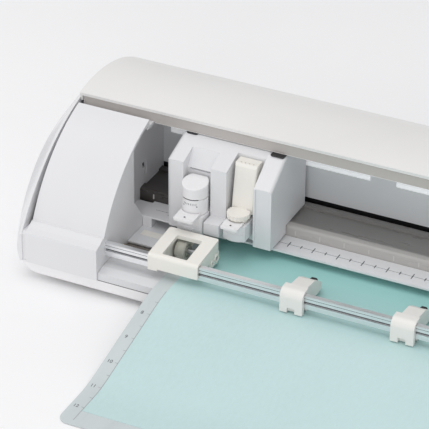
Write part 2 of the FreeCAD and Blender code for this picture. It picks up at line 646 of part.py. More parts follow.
def pulley_post(x):
    """Fixed shaft of a pulley on a bracket that stands on the tray floor."""
    shaft = rod("z", (x, BELT_Y), 2.0, (BELT_Z[0] - 5, BELT_Z[1] + 4.5))
    table = rounded_plan((x - 13, x + 13), (BELT_Y - 13, BELT_Y + 13), (BELT_Z[0] - 6, BELT_Z[0] - 3.5), 4.0)
    leg = block((x - 11, x + 11), (BELT_Y + 8, BELT_Y + 11), (FLOOR_TOP, BELT_Z[0] - 5))
    foot = block((x - 11, x + 11), (BELT_Y - 8, BELT_Y + 11), (FLOOR_TOP, FLOOR_TOP + 2))
    return join(shaft, table, leg, foot)


def carriage_motor():
    """Motor above the right pulley, carried by a post beside it, with the pulley shaft."""
    x = BELT_X
    can = rod("z", (x, BELT_Y), 13.0, (BELT_Z[1] + 6.5, 82.0))
    plate = block((x - 13, x + 17), (BELT_Y - 13, BELT_Y + 13), (BELT_Z[1] + 4.0, BELT_Z[1] + 6.5))
    post = block((x + 9.5, x + 17), (BELT_Y - 7, BELT_Y + 10), (FLOOR_TOP, BELT_Z[1] + 4.0))
    hollow = block((x + 11.5, x + 15), (BELT_Y - 11, BELT_Y + 11), (FLOOR_TOP + 4, BELT_Z[1]))
    shaft = rod("z", (x, BELT_Y), 2.0, (BELT_Z[0] - 3, BELT_Z[1] + 5))
    return join(can, plate, post.cut(hollow), shaft)


# ---------------------------------------------------------------- carriage
def carriage_profile(x):
    """Side shape of the carriage: sloped brow, flat top, and a step over the rail."""
    return side_prism([(CAR_FRONT, CAR_LOW), (CAR_FRONT, 92.0), (-6.4, CAR_TOP), (CAR_BACK, CAR_TOP),
                       (CAR_BACK, CAR_STEP), (-6.0, CAR_STEP), (-6.0, CAR_LOW)], x)


def bay_cut(x):
    """Open front of tool bay 1 with its slanted back."""
    return side_prism([(-60, 20), (-60, 130), (-8.0, 130), (-18.0, 97.0), (-25.5, 84.0), (-25.5, 20)], x)


def column_cut(x):
    """Open front of tool bay 2, deep enough for the cream column above the holder."""
    return side_prism([(-60, 20), (-60, 130), (-13.5, 130), (-13.5, 55.5), (-25.5, 55.5), (-25.5, 20)], x)


GUIDE_W, GUIDE_BACK = 8.0, -20.5
GUIDE_Z = (35.0, 62.0)


def guide_slot(axis_x, grow):
    """Upright channel the tongue of a tool holder runs in."""
    return block((axis_x - GUIDE_W / 2 - grow, axis_x + GUIDE_W / 2 + grow), (-27, GUIDE_BACK + grow),
                 (GUIDE_Z[0] - 5, GUIDE_Z[1]))


def carriage_housing():
    """Moulded shell of the carriage with its two tool bays, hollow behind them."""
    shell = carriage_profile((CAR_LEFT, CAR_RIGHT))
    soft = [e for e in shell.Edges if abs(e.CenterOfMass.x - CAR_LEFT) < 0.1 and e.CenterOfMass.z > 60
            and e.CenterOfMass.y < 20]
    shell = shell.makeFillet(4.0, soft)
    cuts = [bay_cut(BAY_1), column_cut((BAY_2[0], BAY_2[1] + 1))]
    hollow = block((CAR_LEFT + 2.5, CAR_RIGHT + 1), (-11.0, CAR_BACK - 2.5), (CAR_STEP + 2.0, CAR_TOP - 3.0))
    slots = [guide_slot(TOOL_1_X, 0.3), guide_slot(TOOL_2_X, 0.3)]
    slit = block((BAY_1[0] + 1.5, BAY_1[1] - 1.5), (-26.0, -23.5), (82.4, 83.8))
    arm_gap = block(CLAMP_X, (CAR_BACK - 5.0, CAR_BACK + 1), (CAR_STEP - 1, CAR_STEP + 4.5))
    shell = less(shell, hollow, arm_gap, slit, *(cuts + slots))
    foot = block((-157.2, -144.6), (-46.0, CAR_FRONT + 1), (42.0, 52.0))
    return join(shell, foot)


def carriage_side_panel():
    """Lower right part of the carriage with its own sloped brow."""
    x = (CAR_RIGHT, CAR_END)
    panel = side_prism([(CAR_FRONT, CAR_LOW), (CAR_FRONT, 84.5), (-9.4, 101.2), (CAR_BACK, 101.2),
                        (CAR_BACK, CAR_STEP), (-6.0, CAR_STEP), (-6.0, CAR_LOW)], x)
    soft = [e for e in panel.Edges if abs(e.CenterOfMass.x - CAR_END) < 0.1 and e.CenterOfMass.z > 84]
    panel = panel.makeFillet(2.5, soft)
    hollow = block((CAR_RIGHT - 1, CAR_END - 2.5), (-11.0, CAR_BACK - 2.5), (CAR_STEP + 2.0, CAR_TOP - 3.0))
    rim = block((CAR_RIGHT, CAR_RIGHT + 1.4), (CAR_FRONT - 1.0, CAR_FRONT + 1), (40.0, 84.0))
    return join(panel.cut(hollow), rim)


CLAMP_X = (-160.0, -142.0)


def carriage_frame():
    """Metal chassis in the carriage with the arm through the wall gap to the belt clamp."""
    floor = block((CAR_LEFT + 3, CAR_END - 3), (-10.5, CAR_BACK - 2.6), (CAR_STEP + 2.0, CAR_STEP + 4.5))
    wall = block((CAR_LEFT + 3, CAR_END - 3), (-10.5, -8.5), (CAR_STEP + 3, 80.0))
    arm = block(CLAMP_X, (CAR_BACK, BELT_Y - 2.0), (41.4, 42.6))
    front_belt = BELT_Y - PULLEY_R - BELT_CLEAR
    jaw_front = block(CLAMP_X, (front_belt - BELT_T - 3.0, front_belt - BELT_T - 0.3), (33.5, 42.0))
    jaw_back = block(CLAMP_X, (front_belt + 0.3, front_belt + 3.3), (33.5, 42.0))
    riser = block(CLAMP_X, (CAR_BACK - 5.0, CAR_BACK + 0.5), (41.4, CAR_STEP + 4.5))
    return join(floor, wall, riser, arm, jaw_front, jaw_back)


def carriage_glide(x):
    """Slippery pad under the carriage, just clear of the rail top."""
    return block((x - 6, x + 6), (CAR_BACK - 5.0, CAR_BACK - 0.5), (RAIL_HIGH + RUN, CAR_STEP))


# ---------------------------------------------------------------- tool 1: blade
def tongue(axis_x, z):
    """Guide tongue of a tool holder, running in the carriage's upright channel."""
    return block((axis_x - GUIDE_W / 2, axis_x + GUIDE_W / 2), (-26.5, GUIDE_BACK), z)


def tool_1_holder():
    """Sliding clamp with a round bore for the blade housing and a step for its lock."""
    body = rounded_plan((-179.2, -158.2), (-47.0, -26.2), (40.0, 55.2), 2.0)
    bore = rod("z", (TOOL_1_X, TOOL_Y), 7.8, (36, 60))
    groove = block((-180, -157), (-48, -46.4), (46.5, 48.0))
    nose = block((-173.0, -165.0), (-49.0, -46.5), (41.0, 45.0))
    return less(join(body, tongue(TOOL_1_X, (40.0, 54.0)), nose), bore, groove)


def lock_tab(x, y, z, dot):
    """Pull-out lock: flat tab with a raised lip in front and a moulded dot."""
    plate = rounded_plan(x, y, (z[0], z[1] - 0.6), 1.5)
    lip = block((x[0] + 1.5, x[1] - 1.5), (y[0] + 0.5, y[0] + 2.2), (z[1] - 0.7, z[1]))
    mark = rod("z", dot, 1.1, (z[1] - 0.7, z[1] - 0.1))
    return join(plate, lip, mark)


BARREL_R, BARREL_TOP = 10.2, 68.2   # upper part of the blade housing


def tool_1_lock():
    """Lock tab of holder 1, notched round the blade housing."""
    tab = lock_tab((-177.0, -161.0), (-58.0, -42.0), (55.5, 58.0), (TOOL_1_X, -54.0))
    return tab.cut(rod("z", (TOOL_1_X, TOOL_Y), BARREL_R + 0.6, (50, 70)))


def tool_1_barrel():
    """Blade housing: slim barrel with a nose cone, a wide upper drum and the neck of its cap."""
    centre = Vector(TOOL_1_X, TOOL_Y, 32.0)
    barrel = rod("z", (TOOL_1_X, TOOL_Y), 7.5, (38.0, 55.6))
    drum = rod("z", (TOOL_1_X, TOOL_Y), BARREL_R, (55.5, BARREL_TOP))
    neck = rod("z", (TOOL_1_X, TOOL_Y), BARREL_R - 0.8, (BARREL_TOP - 0.5, BARREL_TOP + 0.8))
    nose = Part.makeCone(3.2, 6.6, 6.0, centre, Vector(0, 0, 1))
    bore = rod("z", (TOOL_1_X, TOOL_Y), 1.3, (30, 46))
    flat = block((-185, -150), (-27.6, -20), (55, 70))
    return less(join(barrel, drum, neck, nose), bore, flat)


def tool_1_cap():
    """Smooth D-shaped grip on the housing, its top sloping down to the front."""
    low = BARREL_TOP + 0.8
    grip = rod("z", (TOOL_1_X, TOOL_Y), BARREL_R, (low, 81.0))
    flat = block((-185, -150), (-27.6, -20), (60, 85))
    slope = side_prism([(-50, 90), (-50, 77.0), (-46, 77.6), (-31.0, 80.4), (-20, 80.4), (-20, 90)],
                       (-185, -150))
    grip = less(grip, flat, slope)
    brow = [e for e in grip.Edges if e.CenterOfMass.z > 76.0 and e.CenterOfMass.y < -38 and e.Length > 12]
    return grip.makeFillet(0.8, brow)


def tool_1_blade():
    """Thin round blade shank with a one-sided point."""
    shank = rod("z", (TOOL_1_X, TOOL_Y), 1.25, (28.5, 45.0))
    wedge = front_prism([(TOOL_1_X - 5, 28.0), (TOOL_1_X - 0.4, 28.0), (TOOL_1_X + 2.0, 33.0),
                         (TOOL_1_X + 5, 33.0),
                         (TOOL_1_X + 5, 20.0), (TOOL_1_X - 5, 20.0)], (TOOL_Y - 3, TOOL_Y + 3))
    return shank.cut(wedge)


# ---------------------------------------------------------------- tool 2: driven tool
def tool_2_holder():
    """Sliding clamp with a bowed front and a bore for the driven tool."""
    body = block((-142.0, -124.0), (-42.0, -26.2), (42.8, 55.7))
    bow = rod("z", (TOOL_2_X, -32.5), 14.5, (42.8, 55.7))
    bow = bow.common(block((-142.0, -124.0), (-48, -40), (42, 57)))
    bore = rod("z", (TOOL_2_X, TOOL_Y), 7.3, (40, 60))
    band = rod("z", (TOOL_2_X, -32.5), 16.0, (49.0, 50.0)).cut(rod("z", (TOOL_2_X, -32.5), 14.1, (48, 51)))
    band = band.common(block((-145, -121), (-50, -41), (48, 51)))
    return less(join(body, bow, tongue(TOOL_2_X, (43.0, 55.0))), bore, band)


def tool_2_lock():
    """Lock tab of holder 2, notched round the tool."""
    tab = lock_tab((-140.0, -126.0), (-54.0, -40.0), (56.0, 58.3), (TOOL_2_X, -50.5))
    return tab.cut(rod("z", (TOOL_2_X, TOOL_Y), 8.4, (50, 70)))


COLLAR_Z = (59.0, 62.6)         # ratchet collar of the driven tool


def tool_2_module():
    """Driven tool: round stem with a pen-like nose, and the leaning cream column behind it."""
    stem = rod("z", (TOOL_2_X, TOOL_Y), 7.0, (42.0, COLLAR_Z[0] + 0.5))
    nose = Part.makeCone(1.2, 5.5, 5.5, Vector(TOOL_2_X, TOOL_Y, 36.8), Vector(0, 0, 1))
    column = side_prism([(-30.5, 59.0), (-24.6, 94.4), (-23.0, 96.8), (-14.2, 96.8), (-14.2, 59.9),
                         (-26.0, 59.9), (-26.0, 59.0)], (-142.0, -124.0))
    leaning = [e for e in column.Edges if abs(e.CenterOfMass.y + 27.5) < 0.6 and 75 < e.CenterOfMass.z < 79]
    column = column.makeFillet(1.4, leaning)
    core = rod("z", (TOOL_2_X, TOOL_Y), 7.0, (COLLAR_Z[0], COLLAR_Z[1]))
    top_dots = [rod("z", (TOOL_2_X + offset, -21.5), 0.5, (96.2, 98)) for offset in (-5.1, -1.7, 1.7, 5.1)]
    return less(join(stem, nose, column, core), *top_dots)


def tool_2_ratchet():
    """Low ratchet collar round the driven tool, ribbed outside, open at the back for the column."""
    ring = rod("z", (TOOL_2_X, TOOL_Y), 8.4, COLLAR_Z)
    ribs = [block((8.0, 8.9), (-0.7, 0.7), COLLAR_Z) for number in range(18)]
    for number, rib in enumerate(ribs):
        rib.rotate(Vector(0, 0, 0), Vector(0, 0, 1), 20.0 * number)
        rib.translate(Vector(TOOL_2_X, TOOL_Y, 0))
        ring = ring.fuse(rib)
    behind = block((-150, -115), (-30.9, -20), (55, 75))
    core = rod("z", (TOOL_2_X, TOOL_Y), 7.0, (55, 75))
    return less(ring.removeSplitter(), behind, core)


# ---------------------------------------------------------------- pinch frames and clips
FRAME_X = (-181.5, -140.5)
PINCH_X = (-172.5, -164.0)
PINCH_AXLE_R = 2.2
RIGHT_FRAME_STEP = -12.5        # the right frame is the left one mirrored and moved by this


def bar_tunnel(x):
    """Room for the pinch bar with running space all round."""
    return block((x[0] - 1, x[1] + 1), (BAR_Y[0] - BAR_GAP, BAR_Y[1] + BAR_GAP),
                 (BAR_Z[0] - 6, BAR_Z[1] + BAR_GAP))


def left_pinch_frame():
    """Cream frame that hooks over the bar, its top rising to the back, open round the roller."""
    outer = side_prism([(-90.5, 31.0), (-90.5, 42.8), (-53.0, 45.8), (-53.0, 31.0)], FRAME_X)
    nose = [e for e in outer.Edges if e.CenterOfMass.y < -90.4 and e.CenterOfMass.z > 42.7]
    outer = outer.makeFillet(3.0, nose)
    upright = [e for e in outer.Edges if e.CenterOfMass.y > -53.1 and abs(e.CenterOfMass.z - 38.4) < 1]
    outer = outer.makeFillet(2.0, upright)
    window = rounded_plan((-171.5, -151.0), (-86.4, -60.5), (20, 60), 1.2)
    under = block((FRAME_X[0] - 1, FRAME_X[1] + 1), (BAR_Y[1] + BAR_GAP + 2, -50), (20, 33.0))
    middle = block((-174.2, -151.0), (-81.0, -50), (20, 42.0))
    hook = block((FRAME_X[0], -173.8), (-90.5, BAR_Y[0] - BAR_GAP), (29.5, 31.5))
    body = less(outer, window, under, middle)
    cheek_ends = ((FRAME_X[0], -174.2), (-151.0, FRAME_X[1]))
    cheeks = [rounded_side(x, (-69.5, -53.2), (27.4, 38.0), 3.6) for x in cheek_ends]
    pin = (-65.6, PINCH_Z - 0.6)
    boss = tube("x", pin, 2.6, 1.1, (FRAME_X[1] - 0.5, FRAME_X[1] + 0.7))
    body = join(body, hook, *cheeks)
    body = join(body.cut(rod("x", pin, 1.1, (FRAME_X[1] - 2, FRAME_X[1] + 1))), boss)
    rim = tube("x", (ROLLER_Y, PINCH_Z), 3.4, PINCH_AXLE_R, (FRAME_X[1] - 0.5, FRAME_X[1] + 0.7))
    bore = rod("x", (ROLLER_Y, PINCH_Z), PINCH_AXLE_R, (FRAME_X[0] + 1.5, FRAME_X[1] + 1))
    return less(join(body, rim), bar_tunnel(FRAME_X), bore)


def pinch_axle():
    """Steel pin through both ears of a pinch frame."""
    return rod("x", (ROLLER_Y, PINCH_Z), PINCH_AXLE_R, (FRAME_X[0] + 1.5, FRAME_X[1] - 0.3))


def pinch_roller():
    """Rubber pinch roller with bevelled rims and a bushed bore."""
    tyre = rod("x", (ROLLER_Y, PINCH_Z), PINCH_R, PINCH_X)
    rims = [e for e in tyre.Edges if min(abs(e.CenterOfMass.x - end) for end in PINCH_X) < 0.1]
    tyre = tyre.makeChamfer(0.8, [e for e in rims if e.Closed])
    recess = [tube("x", (ROLLER_Y, PINCH_Z), 5.2, 3.6, (PINCH_X[0] - 1, PINCH_X[0] + 1)),
              tube("x", (ROLLER_Y, PINCH_Z), 5.2, 3.6, (PINCH_X[1] - 1, PINCH_X[1] + 1))]
    bore = rod("x", (ROLLER_Y, PINCH_Z), PINCH_AXLE_R + RUN, (PINCH_X[0] - 1, PINCH_X[1] + 1))
    return less(tyre, bore, *recess)


def right_one(shape):
    """The matching piece of the right pinch frame."""
    return moved(mirrored(shape), RIGHT_FRAME_STEP)


CLIP_X = (-73.5, -55.5)
CLIP_ROLLER_X = (-64.2, -60.0)
CLIP_STEP = 86.6                # from the first clip to the second
CLIP_AXLE_R = 1.2


def clip():
    """Sliding clip: rounded body round the bar and a narrow forked head with a roller pin."""
    body = side_prism([(-92.0, 25.2), (-92.0, 43.5), (-81.0, 43.5), (-81.0, 25.2)], CLIP_X)
    nose = [e for e in body.Edges if e.CenterOfMass.y < -91.9 and e.CenterOfMass.z > 43.4]
    body = body.makeFillet(6.5, nose)
    head_x = (-69.5, -56.5)
    head = side_prism([(-81.5, 30.0), (-81.5, 43.3), (-67.0, 41.4), (-60.0, 37.4), (-55.0, 33.5),
                       (-54.4, 30.0), (-55.5, 27.4), (-60.0, 26.6)], head_x)
    fork = block((CLIP_ROLLER_X[0] - 0.5, CLIP_ROLLER_X[1] + 0.5), (-64.5, -50.0), (20, 38.3))
    notch = block((-67.5, -61.5), (-93, BAR_Y[0] - 1.0), (20, 29.5))
    pin = rod("x", (ROLLER_Y, CLIP_ROLLER_Z), CLIP_AXLE_R, (head_x[0] + 1.0, head_x[1] - 1.0))
    return join(less(join(body, head), bar_tunnel(CLIP_X), fork, notch), pin)


def clip_roller():
    """Small black roller of a clip, bevelled and bored."""
    tyre = rod("x", (ROLLER_Y, CLIP_ROLLER_Z), CLIP_ROLLER_R, CLIP_ROLLER_X)
    tyre = tyre.makeChamfer(0.6, [e for e in tyre.Edges if e.Closed])
    bore = rod("x", (ROLLER_Y, CLIP_ROLLER_Z), CLIP_AXLE_R + RUN,
               (CLIP_ROLLER_X[0] - 1, CLIP_ROLLER_X[1] + 1))
    return tyre.cut(bore)


# ---------------------------------------------------------------- mat and sheet
BEND_START = -98.0              # the mat leaves the bed here
BEND_R = 100.0
SLOPE = math.radians(13.0)
TABLE_GAP = 0.3                 # underside of the mat above the table
DROP = MAT_Z - TABLE_GAP
SLOPE_LENGTH = (DROP - 2 * BEND_R * (1 - math.cos(SLOPE))) / math.sin(SLOPE)
SHEET_FRONT = -236.0


def fed_layer(low, high, y_front, y_back, x):
    """Layer between two heights above the mat's underside, following bed, slope and table."""
    out_y, out_z = -math.sin(SLOPE), math.cos(SLOPE)
    half_y, half_z = -math.sin(SLOPE / 2), math.cos(SLOPE / 2)
    top_y, top_z = BEND_START, MAT_Z - BEND_R
    first_y, first_z = top_y + BEND_R * out_y, top_z + BEND_R * out_z
    last_y = first_y - SLOPE_LENGTH * math.cos(SLOPE)
    last_z = first_z - SLOPE_LENGTH * math.sin(SLOPE)
    low_y, low_z = last_y + BEND_R * out_y, last_z + BEND_R * out_z

    def point(y, z):
        return Vector(x[0], y, z)

    def edges(up):
        big, small = BEND_R + up, BEND_R - up
        start, bend = point(y_back, MAT_Z + up), point(BEND_START, MAT_Z + up)
        ramp = point(first_y + up * out_y, first_z + up * out_z)
        foot = point(last_y + up * out_y, last_z + up * out_z)
        flat, end = point(low_y, low_z - small), point(y_front, low_z - small)
        mid_1 = point(top_y + big * half_y, top_z + big * half_z)
        mid_2 = point(low_y - small * half_y, low_z - small * half_z)
        run = [Part.makeLine(start, bend), Part.Arc(bend, mid_1, ramp).toShape(), Part.makeLine(ramp, foot),
               Part.Arc(foot, mid_2, flat).toShape(), Part.makeLine(flat, end)]
        return run, start, end

    under, under_start, under_end = edges(low)
    over, over_start, over_end = edges(high)
    ends = [Part.makeLine(under_end, over_end), Part.makeLine(over_start, under_start)]
    wire = Part.Wire(Part.__sortEdges__(under + over + ends))
    return Part.Face(wire).extrude(Vector(x[1] - x[0], 0, 0))


def sheet_back():
    """Where the square sheet ends, measured along the bends from its front edge."""
    bends = 2 * BEND_R * SLOPE
    flat_end = BEND_START - 2 * BEND_R * math.sin(SLOPE) - SLOPE_LENGTH * math.cos(SLOPE)
    on_table = flat_end - SHEET_FRONT
    return BEND_START + SHEET_SIDE - bends - SLOPE_LENGTH - on_table


def cutting_mat():
    """Sticky plastic mat, rounded at its corners."""
    mat = fed_layer(0.0, MAT_T, MAT_FRONT, MAT_BACK, (MAT_LEFT, MAT_RIGHT))
    return mat.common(rounded_plan((MAT_LEFT, MAT_RIGHT), (MAT_FRONT, MAT_BACK), (-5, 40), 8.0))


def material_sheet():
    """Square of thin card lying on the mat."""
    left = MAT_LEFT + 11.5
    return fed_layer(MAT_T, MAT_T + SHEET_T, SHEET_FRONT, sheet_back(), (left, left + SHEET_SIDE))


# ---------------------------------------------------------------- lid, panel and board
def lid():
    """Curved lid that turns back over the top, with a front lip and side runners."""
    x = (-280.5, 280.5)
    skin = arc_band(LID_R, LID_R - LID_T, LID_FRONT, LID_REAR, x)
    lip = arc_band(LID_R, COVER_R + 0.7, LID_FRONT, LID_FRONT + 1.2, x)
    groove_sides = ((-281.5, -279.6), (279.6, 281.5))
    runners = [arc_band(LID_R, 120.0, LID_FRONT, LID_REAR, side) for side in groove_sides]
    return join(skin, lip, *runners)


def touch_panel():
    """Glossy control plate set flush in the right cover, with three round touch fields."""
    plate = rounded_front(PANEL_X, (BODY_FRONT + 0.1, BODY_FRONT + PANEL_DEEP), PANEL_Z)
    rings = [tube("y", (x, 28.0), 2.6, 2.1, (BODY_FRONT - 1, BODY_FRONT + 0.3)) for x in (237, 246, 255)]
    return less(plate, *rings)


def control_board():
    """Circuit board on four posts, with its larger parts."""
    board = block((238, 268), (-60, 20), (12.0, 13.6))
    posts = [rod("z", (x, y), 2.2, (FLOOR_TOP, 12.2)) for x in (242, 264) for y in (-55, 15)]
    chip = block((246, 260), (-40, -26), (13.5, 15.4))
    second = block((246, 256), (-10, -2), (13.5, 15.0))
    header = block((241, 244), (-20, 5), (13.5, 20.0))
    cans = [rod("z", (262, y), 3.0, (13.5, 22.0)) for y in (-48, -14, 2)]
    return join(board, chip, second, header, *(posts + cans))


# ---------------------------------------------------------------- write every node
write("base_tray", base_tray())
write("rubber_feet", *[rubber_foot(x, y) for x, y in FOOT_PLACES])
write("case_screws", *[case_screw(x, y) for x, y in SCREW_PLACES])
write("left_front_cover", left_front_cover())
write("right_front_cover", right_front_cover())
write("left_end_cap", left_end_cap())
write("right_end_cap", mirrored(left_end_cap()))
write("top_cover", top_cover())
write("rear_cover", rear_cover())
write("usb_socket", usb_socket())
write("power_inlet", power_inlet())
write("touch_panel", touch_panel())
write("power_button", power_button())
write("left_inner_wall", left_inner_wall())
write("right_inner_wall", mirrored(left_inner_wall()))
write("roller_bushes", roller_bush(-1), roller_bush(1))
write("front_bed", front_bed())
write("platen", platen())
write("cutting_strip", cutting_strip())
write("ruler_strip", ruler_strip())
write("carriage_rail", carriage_rail())
write("back_wall_panel", back_wall_panel())
write("light_strip", *[light_run(start, stop) for start, stop in LIGHT_RUNS])
write("pinch_bar", pinch_bar())
write("drive_roller", drive_roller())
write("drive_gear", drive_gear())
write("motor_pinion", motor_pinion())
write("feed_motor", feed_motor())
write("carriage_belt", carriage_belt())
write("motor_pulley", pulley(1))
write("idler_pulley", pulley(-1))
write("idler_bracket", pulley_post(-BELT_X))
write("carriage_motor", carriage_motor())
write("control_board", control_board())
write("carriage_housing", carriage_housing())
write("carriage_side_panel", carriage_side_panel())
write("carriage_frame", carriage_frame())
write("carriage_glides", *[carriage_glide(x) for x in (-186.0, -116.0)])
write("tool_1_holder", tool_1_holder())
write("tool_1_lock", tool_1_lock())
write("tool_1_barrel", tool_1_barrel())
write("tool_1_cap", tool_1_cap())
write("tool_1_blade", tool_1_blade())
write("tool_2_holder", tool_2_holder())
write("tool_2_lock", tool_2_lock())
write("tool_2_module", tool_2_module())
write("tool_2_ratchet", tool_2_ratchet())
write("left_pinch_frame", left_pinch_frame())
write("right_pinch_frame", right_one(left_pinch_frame()))
write("left_pinch_axle", pinch_axle())
write("right_pinch_axle", right_one(pinch_axle()))
write("left_pinch_roller", pinch_roller())
write("right_pinch_roller", right_one(pinch_roller()))
write("clip_1", clip())
write("clip_2", moved(clip(), CLIP_STEP))
write("clip_1_roller", clip_roller())
write("clip_2_roller", moved(clip_roller(), CLIP_STEP))
write("cutting_mat", cutting_mat())
write("material_sheet", material_sheet())
write("lid", lid())
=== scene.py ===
"""Looks of the die cutting machine: materials, printed mat scale, fine trim, light and camera.

Metres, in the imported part's frame: +X right, +Y back, +Z up, table at Z = 0.
"""
import math

import bmesh
import bpy
from mathutils import Matrix, Vector


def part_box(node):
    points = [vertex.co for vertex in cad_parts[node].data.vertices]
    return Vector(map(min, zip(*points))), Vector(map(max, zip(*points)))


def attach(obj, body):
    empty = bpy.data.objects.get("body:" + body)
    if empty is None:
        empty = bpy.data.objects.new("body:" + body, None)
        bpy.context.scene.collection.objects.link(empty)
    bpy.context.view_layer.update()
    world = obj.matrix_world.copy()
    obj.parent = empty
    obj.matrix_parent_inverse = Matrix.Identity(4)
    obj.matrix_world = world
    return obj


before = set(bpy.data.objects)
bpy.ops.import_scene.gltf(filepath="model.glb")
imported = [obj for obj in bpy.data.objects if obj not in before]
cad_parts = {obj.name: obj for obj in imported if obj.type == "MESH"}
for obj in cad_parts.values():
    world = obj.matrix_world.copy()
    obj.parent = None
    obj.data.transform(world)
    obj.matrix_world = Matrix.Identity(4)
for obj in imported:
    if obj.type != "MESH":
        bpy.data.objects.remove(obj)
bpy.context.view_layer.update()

MM = 0.001
MAT_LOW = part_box("cutting_mat")[0]
MAT_FRONT = -253.0                      # the mat's front edge in the machine's own frame, mm
FRAME_Y = MAT_LOW[1] / MM - MAT_FRONT    # the machine's own Y = 0 in the part's frame, mm

# ---------------------------------------------------------------- camera
CAMERA_PLACE = (536.43, -1482.14, 1026.72)      # mm in the machine's own frame
AZIMUTH, ELEVATION, ROLL = (math.radians(a) for a in (25.485, 31.245, 0.576))
LENS, SENSOR = 209.96, 36.0


def place_camera():
    """Long-lens camera above and to the right of the machine's front."""
    back = Vector((math.sin(AZIMUTH) * math.cos(ELEVATION), -math.cos(AZIMUTH) * math.cos(ELEVATION),
                   math.sin(ELEVATION)))
    right = Vector((math.cos(AZIMUTH), math.sin(AZIMUTH), 0.0))
    up = back.cross(right)
    side = right * math.cos(ROLL) + up * math.sin(ROLL)
    top = up * math.cos(ROLL) - right * math.sin(ROLL)
    turn = Matrix((side, top, back)).transposed().to_4x4()
    data = bpy.data.cameras.new("camera")
    data.lens = LENS
    data.sensor_width = SENSOR
    data.clip_end = 20.0
    camera = bpy.data.objects.new("camera", data)
    x, y, z = CAMERA_PLACE
    camera.matrix_world = Matrix.Translation(Vector((x, y + FRAME_Y, z)) * MM) @ turn
    bpy.context.scene.collection.objects.link(camera)
    bpy.context.scene.camera = camera


place_camera()


# ---------------------------------------------------------------- materials
class Maker:
    """A node material under construction: small helpers so each recipe stays short."""

    def __init__(self, name):
        self.material = bpy.data.materials.new(name)
        self.material.use_nodes = True
        self.tree = self.material.node_tree
        self.shader = self.tree.nodes["Principled BSDF"]
        self.place = self.tree.nodes.new("ShaderNodeTexCoord").outputs["Object"]

    def link(self, output, socket):
        """Joins one node's output to another's input."""
        self.tree.links.new(output, socket)

    def mapped(self, stretch):
        """Object coordinates stretched per axis."""
        node = self.tree.nodes.new("ShaderNodeMapping")
        node.inputs["Scale"].default_value = stretch
        self.link(self.place, node.inputs["Vector"])
        return node.outputs["Vector"]

    def noise(self, scale, detail=3.0, stretch=(1, 1, 1), rough=0.5):
        """Cloudy pattern fixed to the piece."""
        node = self.tree.nodes.new("ShaderNodeTexNoise")
        node.inputs["Scale"].default_value = scale
        node.inputs["Detail"].default_value = detail
        node.inputs["Roughness"].default_value = rough
        self.link(self.mapped(stretch), node.inputs["Vector"])
        return node.outputs["Fac"]

    def ramp(self, factor, stops):
        """Colour ramp from (position, colour) stops."""
        node = self.tree.nodes.new("ShaderNodeValToRGB")
        ramp = node.color_ramp
        while len(ramp.elements) < len(stops):
            ramp.elements.new(0.5)
        for element, (position, colour) in zip(ramp.elements, stops):
            element.position = position
            element.color = (*colour, 1.0)
        self.link(factor, node.inputs["Fac"])
        return node.outputs["Color"]

    def spread(self, factor, low, high):
        """Noise value turned into a range."""
        node = self.tree.nodes.new("ShaderNodeMapRange")
        node.inputs["From Min"].default_value = 0.3
        node.inputs["From Max"].default_value = 0.7
        node.inputs["To Min"].default_value = low
        node.inputs["To Max"].default_value = high
        self.link(factor, node.inputs["Value"])
        return node.outputs["Result"]

    def between(self, value, low, high):
        """Rises from 0 to 1 as the value goes from low to high."""
        node = self.tree.nodes.new("ShaderNodeMapRange")
        node.interpolation_type = "SMOOTHSTEP"
        node.inputs["From Min"].default_value = low
        node.inputs["From Max"].default_value = high
        self.link(value, node.inputs["Value"])
        return node.outputs["Result"]

    def blend(self, factor, first, second):
        """Goes from the first colour to the second; each is a tuple or another node's output."""
        node = self.tree.nodes.new("ShaderNodeMix")
        node.data_type = "RGBA"
        self.link(factor, node.inputs["Factor"])
        for socket, colour in ((node.inputs["A"], first), (node.inputs["B"], second)):
            if isinstance(colour, tuple):
                socket.default_value = (*colour, 1.0)
            else:
                self.link(colour, socket)
        return node.outputs["Result"]

    def bump(self, height, depth, strength=0.5, below=None):
        """Bump of a given depth in metres, over another one if given."""
        node = self.tree.nodes.new("ShaderNodeBump")
        node.inputs["Distance"].default_value = depth
        node.inputs["Strength"].default_value = strength
        self.link(height, node.inputs["Height"])
        if below is not None:
            self.link(below, node.inputs["Normal"])
        return node.outputs["Normal"]

    def finish(self, colour=None, rough=None, normal=None, **fixed):
        """Connects what was built and sets any plain shader values."""
        for output, name in ((colour, "Base Color"), (rough, "Roughness"), (normal, "Normal")):
            if output is not None:
                self.link(output, self.shader.inputs[name])
        for name, value in fixed.items():
            self.shader.inputs[name.replace("_", " ")].default_value = value
        return self.material


def shade(colour, amount):
    """The colour made lighter or darker."""
    return tuple(min(1.0, max(0.0, part * (1.0 + amount))) for part in colour)


def linear(hex_colour):
    """Linear colour from a display one."""
    parts = (int(hex_colour[i:i + 2], 16) / 255 for i in (1, 3, 5))
    return tuple((p / 12.92) if p <= 0.04045 else ((p + 0.055) / 1.055) ** 2.4 for p in parts)


def moulded(name, hex_colour, rough=0.42, grain=0.00004, vary=0.03, pores=1500.0, **fixed):
    """Injection-moulded plastic: fine spark-eroded grain, faint flow mottling, uneven gloss."""
    m = Maker(name)
    base = linear(hex_colour)
    flow = m.noise(9.0, 4.0)
    colour = m.ramp(flow, [(0.25, shade(base, -vary)), (0.5, base), (0.8, shade(base, vary))])
    fine = m.noise(pores, 2.0)
    gloss = m.spread(m.noise(60.0, 5.0), rough - 0.05, rough + 0.06)
    wave = m.bump(m.noise(14.0, 2.0), 0.0003, 0.15)
    return m.finish(colour, gloss, m.bump(fine, grain, 0.6, wave), **fixed)


